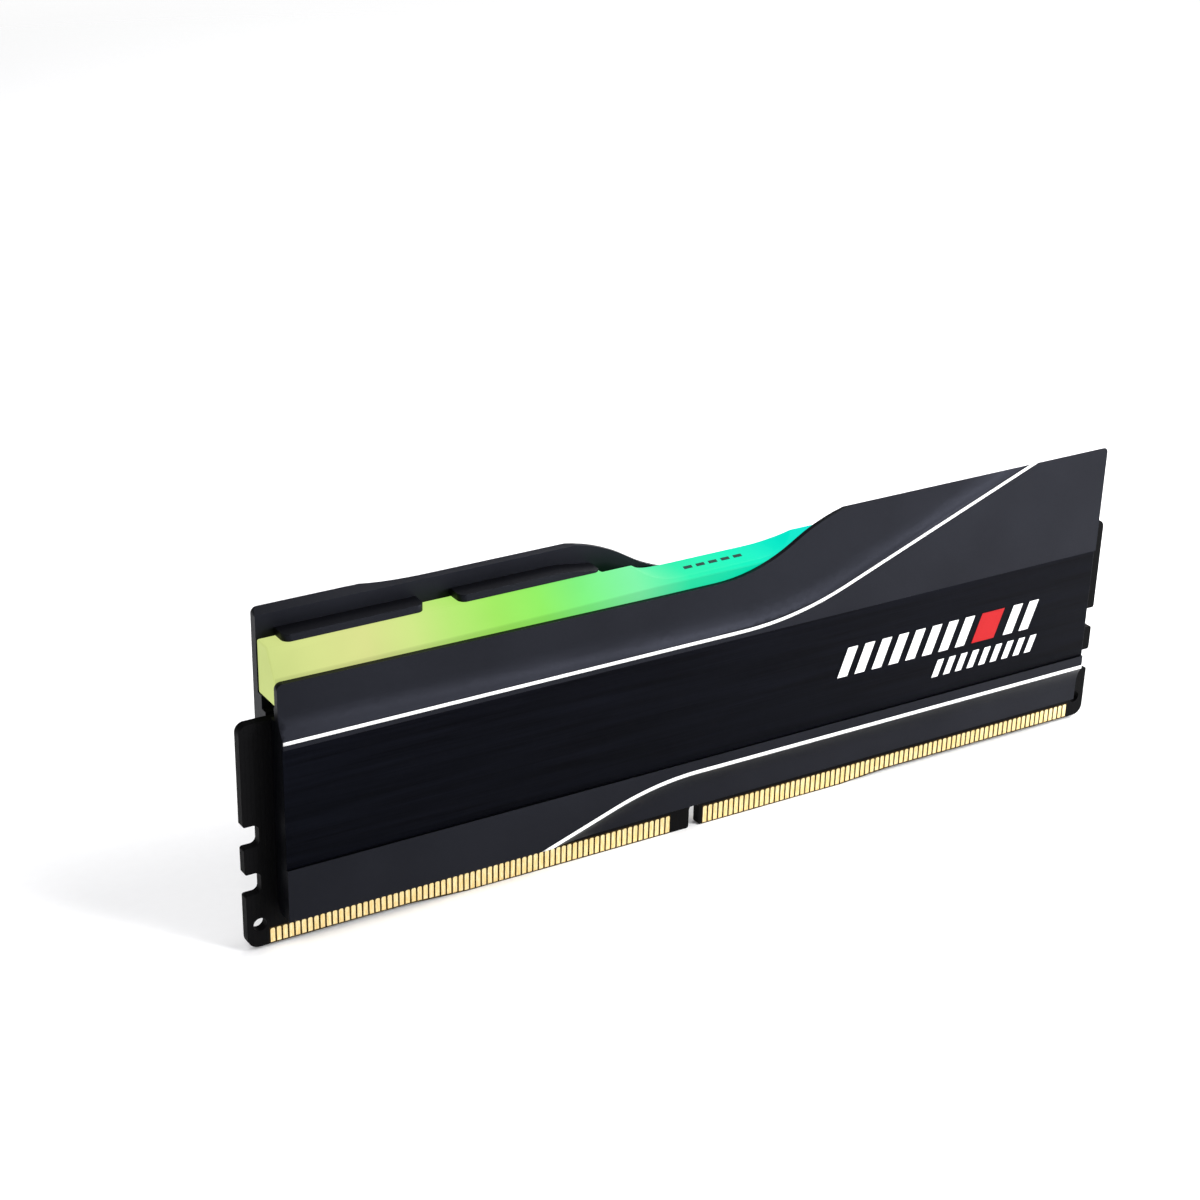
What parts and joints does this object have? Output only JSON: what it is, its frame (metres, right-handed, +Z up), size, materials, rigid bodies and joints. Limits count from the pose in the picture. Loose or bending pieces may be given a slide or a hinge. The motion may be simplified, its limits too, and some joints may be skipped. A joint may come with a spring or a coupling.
{
  "type": "memory module",
  "caption": "Slim desktop memory module: notched circuit board with a gold contact edge, between two dark pressed-metal heat spreader halves with brushed inlays and a glowing light bar on top.",
  "frame": {"origin": "middle of the contact edge: mid length and mid thickness of the circuit board, at the edge's lowest point", "axes": "+X along the module, towards the high end of the front spreader half; -Y out of the front face, +Y out of the rear face; +Z up, away from the socket"},
  "size_m": [0.1334, 0.008, 0.044],
  "materials": {
    "solder_mask_board": "near-black solder mask over glass-fibre laminate, satin",
    "gold_contacts": "hard gold plating, bright",
    "chip_moulding": "black epoxy moulding compound, fine matt texture",
    "ceramic_capacitor": "fired ceramic body with tinned ends",
    "resistor_glaze": "black glaze over ceramic, tinned ends",
    "inductor_ferrite": "pressed grey ferrite powder, matt",
    "diode_lens": "white moulded package with a clear resin face",
    "thermal_pad": "soft silicone filled with ceramic powder, matt",
    "anodised_spreader": "fine bead-blasted and dark grey anodised, satin",
    "brushed_inlay": "black anodised strip, brushed along its length",
    "light_bar_acrylic": "frosted translucent acrylic, lit from below with a slow change of colour along its length"
  },
  "bodies": {
    "root": {"bulk_capacitors": "ceramic_capacitor", "circuit_board": "solder_mask_board", "contacts_front_left": "gold_contacts", "contacts_front_right": "gold_contacts", "contacts_rear_left": "gold_contacts", "contacts_rear_right": "gold_contacts", "damping_resistors": "resistor_glaze", "decoupling_capacitors": "ceramic_capacitor", "inlay_front": "brushed_inlay", "inlay_rear": "brushed_inlay", "led_driver_chip": "chip_moulding", "light_bar": "light_bar_acrylic", "light_diode_1": "diode_lens", "light_diode_2": "diode_lens", "light_diode_3": "diode_lens", "light_diode_4": "diode_lens", "light_diode_5": "diode_lens", "light_diode_6": "diode_lens", "light_diode_7": "diode_lens", "light_diode_8": "diode_lens", "memory_chip_1": "chip_moulding", "memory_chip_2": "chip_moulding", "memory_chip_3": "chip_moulding", "memory_chip_4": "chip_moulding", "memory_chip_5": "chip_moulding", "memory_chip_6": "chip_moulding", "memory_chip_7": "chip_moulding", "memory_chip_8": "chip_moulding", "power_inductor_1": "inductor_ferrite", "power_inductor_2": "inductor_ferrite", "power_inductor_3": "inductor_ferrite", "power_manager_chip": "chip_moulding", "presence_hub_chip": "chip_moulding", "spreader_front": "anodised_spreader", "spreader_rear": "anodised_spreader", "thermal_pad_left": "thermal_pad", "thermal_pad_power": "thermal_pad", "thermal_pad_rear": "thermal_pad", "thermal_pad_right": "thermal_pad"}
  },
  "joints": []
}
